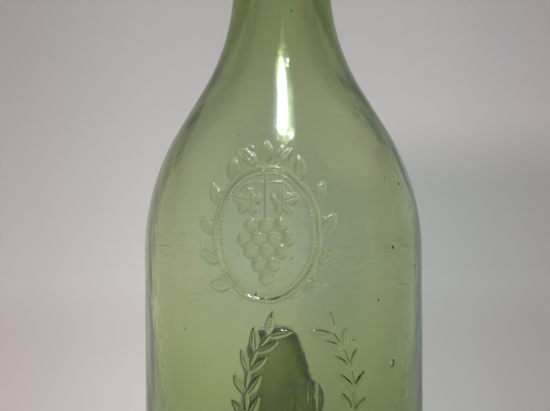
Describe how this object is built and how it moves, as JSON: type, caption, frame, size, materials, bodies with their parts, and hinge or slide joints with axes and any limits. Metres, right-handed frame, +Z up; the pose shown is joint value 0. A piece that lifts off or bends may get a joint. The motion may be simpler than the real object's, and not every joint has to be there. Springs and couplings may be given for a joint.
{
  "type": "brandy bottle",
  "caption": "Squat spirits bottle of pale green glass with a long shoulder, a deep punt, a vine relief on the front and a cork bar-top stopper.",
  "frame": {"origin": "middle of the standing ring, in the plane that the bottle rests on", "axes": "+Z up along the bottle's axis, -Y towards the viewer on the side with the relief, +X to that viewer's right"},
  "size_m": [0.095, 0.0959, 0.2727],
  "materials": {
    "green_glass": "glossy moulded glass",
    "cork": "natural cork",
    "wood": "dark stained and varnished"
  },
  "bodies": {
    "bottle": {"bottle": "green_glass"},
    "stopper": {"stopper_cork": "cork", "stopper_head": "wood"}
  },
  "joints": [
    {"name": "stopper_pull", "type": "slide", "parent": "bottle", "child": "stopper", "axis": [0, 0, 1], "range_m": [0, 0.055]}
  ]
}
